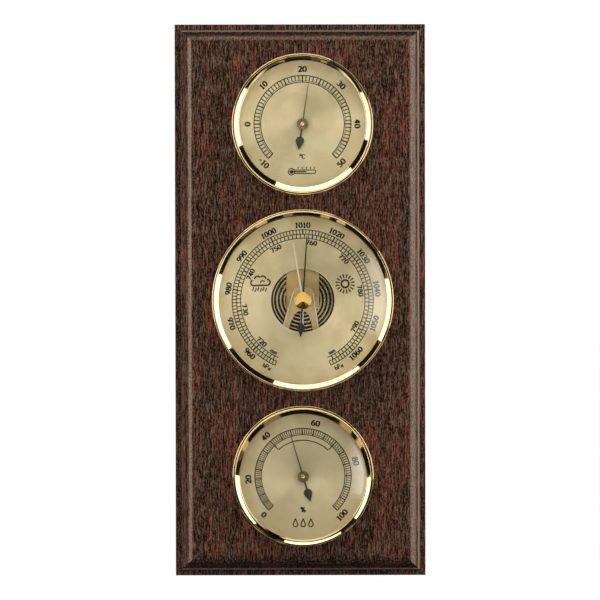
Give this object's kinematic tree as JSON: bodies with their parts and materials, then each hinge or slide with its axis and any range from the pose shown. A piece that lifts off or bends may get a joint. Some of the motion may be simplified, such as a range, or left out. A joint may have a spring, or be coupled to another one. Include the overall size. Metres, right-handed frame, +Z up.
{
  "type": "weather station",
  "caption": "Wall-hung weather station: moulded wooden board with a thermometer, an aneroid barometer with open centre and set hand, and a hygrometer in brass bezels.",
  "frame": {"origin": "middle of the board's back face", "axes": "+Z up along the board, -Y out of the wall towards the viewer, +X to the viewer's right"},
  "size_m": [0.137, 0.0287, 0.302],
  "materials": {
    "dark_wood": "stained, satin lacquer",
    "bezel_brass": "polished",
    "knob_brass": "polished",
    "turned_brass": "turned",
    "dial_gold": "circular brushed, champagne gold",
    "clear_glass": "clear",
    "plated_steel": "zinc plated",
    "blued_steel": "blued, satin",
    "dark_olive": "dark lacquered",
    "pale_brass": "pale, satin",
    "spring_bronze": "rolled, satin",
    "bracket_nickel": "pressed, nickel plated",
    "capsule_dark": "tarnished, ridged",
    "arbor_steel": "turned",
    "bimetal": "rolled",
    "humidity_strip": "coated"
  },
  "bodies": {
    "root": {"board": "dark_wood", "hanger_plate": "plated_steel", "hanger_screws": "turned_brass", "thermometer_case": "plated_steel", "thermometer_clips": "plated_steel", "thermometer_bezel": "bezel_brass", "thermometer_glass": "clear_glass", "thermometer_spacer": "bezel_brass", "thermometer_dial": "dial_gold", "thermometer_bush": "turned_brass", "hygrometer_case": "plated_steel", "hygrometer_clips": "plated_steel", "hygrometer_bezel": "bezel_brass", "hygrometer_glass": "clear_glass", "hygrometer_spacer": "bezel_brass", "hygrometer_dial": "dial_gold", "hygrometer_bush": "turned_brass", "barometer_case": "plated_steel", "barometer_clips": "plated_steel", "barometer_bezel": "bezel_brass", "barometer_glass": "clear_glass", "barometer_spacer": "bezel_brass", "barometer_dial": "dial_gold", "movement_plate": "turned_brass", "movement_screws": "plated_steel", "aneroid_capsule": "capsule_dark", "leaf_spring": "spring_bronze", "leaf_spring_screws": "arbor_steel", "hand_bracket": "bracket_nickel", "bracket_screws": "arbor_steel", "pivot_strap": "turned_brass", "hairspring": "spring_bronze", "rocker_stand": "turned_brass", "drive_chain": "arbor_steel"},
    "thermometer_adjuster": {"thermometer_adjuster": "turned_brass", "thermometer_coil_bracket": "plated_steel", "bimetal_coil": "bimetal"},
    "thermometer_pointer": {"thermometer_arbor": "arbor_steel", "thermometer_pointer": "dark_olive", "thermometer_cap": "turned_brass"},
    "hygrometer_adjuster": {"hygrometer_adjuster": "turned_brass", "hygrometer_coil_bracket": "plated_steel", "humidity_coil": "humidity_strip"},
    "hygrometer_pointer": {"hygrometer_arbor": "arbor_steel", "hygrometer_pointer": "dark_olive", "hygrometer_cap": "turned_brass"},
    "barometer_hand": {"hand_arbor": "arbor_steel", "barometer_hand": "blued_steel"},
    "rocker": {"rocker": "arbor_steel"},
    "spring_lever": {"capsule_stud": "turned_brass", "main_lever": "arbor_steel", "lever_link": "arbor_steel"},
    "set_hand": {"set_hand": "pale_brass", "set_hand_bush": "turned_brass", "set_hand_washer": "arbor_steel", "set_knob": "knob_brass"},
    "pressure_screw": {"pressure_screw": "arbor_steel"}
  },
  "joints": [
    {"name": "thermometer_adjust", "type": "hinge", "parent": "root", "child": "thermometer_adjuster", "pos_m": [0.0014, -0.003, 0.0962], "axis": [0, 1, 0], "range_deg": [-30, 30]},
    {"name": "thermometer_read", "type": "hinge", "parent": "thermometer_adjuster", "child": "thermometer_pointer", "pos_m": [0.0014, -0.019, 0.0962], "axis": [0, 1, 0], "range_deg": [-143.7, 126.3], "stiffness_Nm_per_rad": 0.0005, "deforming": ["bimetal_coil"]},
    {"name": "hygrometer_adjust", "type": "hinge", "parent": "root", "child": "hygrometer_adjuster", "pos_m": [0.0014, -0.003, -0.0962], "axis": [0, 1, 0], "range_deg": [-30, 30]},
    {"name": "hygrometer_read", "type": "hinge", "parent": "hygrometer_adjuster", "child": "hygrometer_pointer", "pos_m": [0.0014, -0.019, -0.0962], "axis": [0, 1, 0], "range_deg": [-118, 151.1], "stiffness_Nm_per_rad": 0.0005, "deforming": ["humidity_coil"]},
    {"name": "barometer_read", "type": "hinge", "parent": "root", "child": "barometer_hand", "pos_m": [0.0014, -0.019, 0], "axis": [0, 1, 0], "range_deg": [-160.8, 152.8], "stiffness_Nm_per_rad": 0.0005, "deforming": ["hairspring", "drive_chain"]},
    {"name": "rocker_turn", "type": "hinge", "parent": "root", "child": "rocker", "pos_m": [0.0014, -0.0065, -0.023], "axis": [1, 0, 0], "range_deg": [-26, 27]},
    {"name": "spring_flex", "type": "hinge", "parent": "root", "child": "spring_lever", "pos_m": [0.0014, -0.0104, 0.021], "axis": [1, 0, 0], "range_deg": [-1.4, 1.4], "deforming": ["leaf_spring", "aneroid_capsule"]},
    {"name": "set_hand_turn", "type": "hinge", "parent": "root", "child": "set_hand", "pos_m": [0.0014, -0.025, 0], "axis": [0, 1, 0], "continuous": true},
    {"name": "pressure_screw_turn", "type": "hinge", "parent": "root", "child": "pressure_screw", "pos_m": [0.0014, -0.003, 0.0275], "axis": [0, 1, 0], "continuous": true}
  ],
  "couplings": [
    {"joint": "rocker_turn", "follows": "barometer_read", "ratio": -0.16296},
    {"joint": "spring_flex", "follows": "barometer_read", "ratio": 0.0077601}
  ]
}
